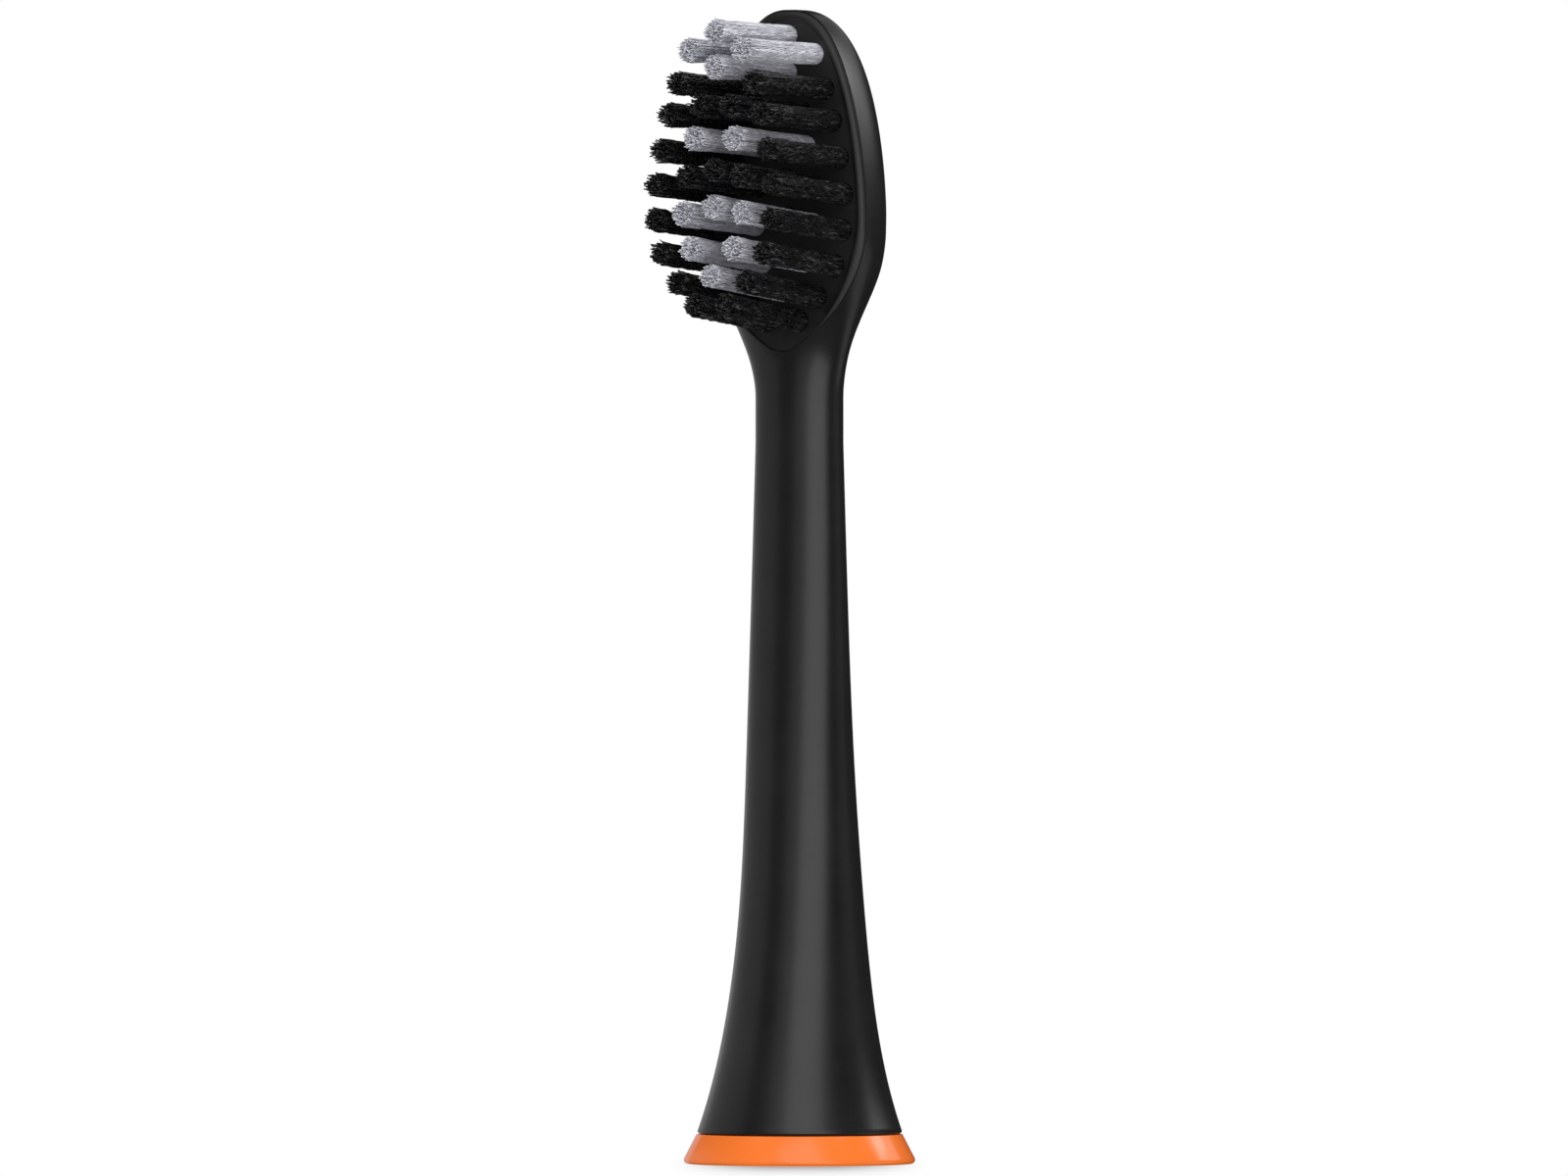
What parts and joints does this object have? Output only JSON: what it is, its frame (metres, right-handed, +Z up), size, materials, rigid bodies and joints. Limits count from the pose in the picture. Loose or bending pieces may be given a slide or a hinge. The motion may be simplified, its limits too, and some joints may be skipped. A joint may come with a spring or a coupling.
{
  "type": "sonic toothbrush brush head",
  "caption": "Push-on brush head for a sonic toothbrush: flared neck, oval head with tilted nylon tufts, drive socket, clip and a snap ring at the mouth.",
  "frame": {"origin": "centre of the foot ring's underside, on the neck's axis", "axes": "+Z up along the neck to the head, bristles point towards -Y, X across the head"},
  "size_m": [0.015, 0.0193, 0.0747],
  "materials": {
    "body": "satin black moulded plastic",
    "plate": "matte black moulded plastic",
    "black_bristle": "black nylon filament",
    "silver_bristle": "silver-grey nylon filament",
    "ring": "semi-gloss orange plastic",
    "socket": "natural acetal",
    "clip": "spring steel strip"
  },
  "bodies": {
    "brush_head": {"bristle_plate": "plate", "brush_body": "body", "drive_socket": "socket", "tuft_black_01": "black_bristle", "tuft_black_02": "black_bristle", "tuft_black_03": "black_bristle", "tuft_black_04": "black_bristle", "tuft_black_05": "black_bristle", "tuft_black_06": "black_bristle", "tuft_black_07": "black_bristle", "tuft_black_08": "black_bristle", "tuft_black_09": "black_bristle", "tuft_black_10": "black_bristle", "tuft_black_11": "black_bristle", "tuft_black_12": "black_bristle", "tuft_black_13": "black_bristle", "tuft_black_14": "black_bristle", "tuft_black_15": "black_bristle", "tuft_black_16": "black_bristle", "tuft_black_17": "black_bristle", "tuft_black_18": "black_bristle", "tuft_black_19": "black_bristle", "tuft_black_20": "black_bristle", "tuft_black_21": "black_bristle", "tuft_silver_01": "silver_bristle", "tuft_silver_02": "silver_bristle", "tuft_silver_03": "silver_bristle", "tuft_silver_04": "silver_bristle", "tuft_silver_05": "silver_bristle", "tuft_silver_06": "silver_bristle", "tuft_silver_07": "silver_bristle", "tuft_silver_08": "silver_bristle", "tuft_silver_09": "silver_bristle", "tuft_silver_10": "silver_bristle", "tuft_silver_11": "silver_bristle", "tuft_silver_12": "silver_bristle"},
    "colour_ring": {"colour_ring": "ring"},
    "shaft_clip": {"shaft_clip": "clip"}
  },
  "joints": [
    {"name": "ring_pull_off", "type": "slide", "parent": "brush_head", "child": "colour_ring", "axis": [0, 0, -1], "range_m": [0, 0.008]},
    {"name": "clip_flex", "type": "hinge", "parent": "brush_head", "child": "shaft_clip", "pos_m": [0, 0.00212, 0.0168], "axis": [1, 0, 0], "range_deg": [0, 2], "stiffness_Nm_per_rad": 0.5}
  ]
}
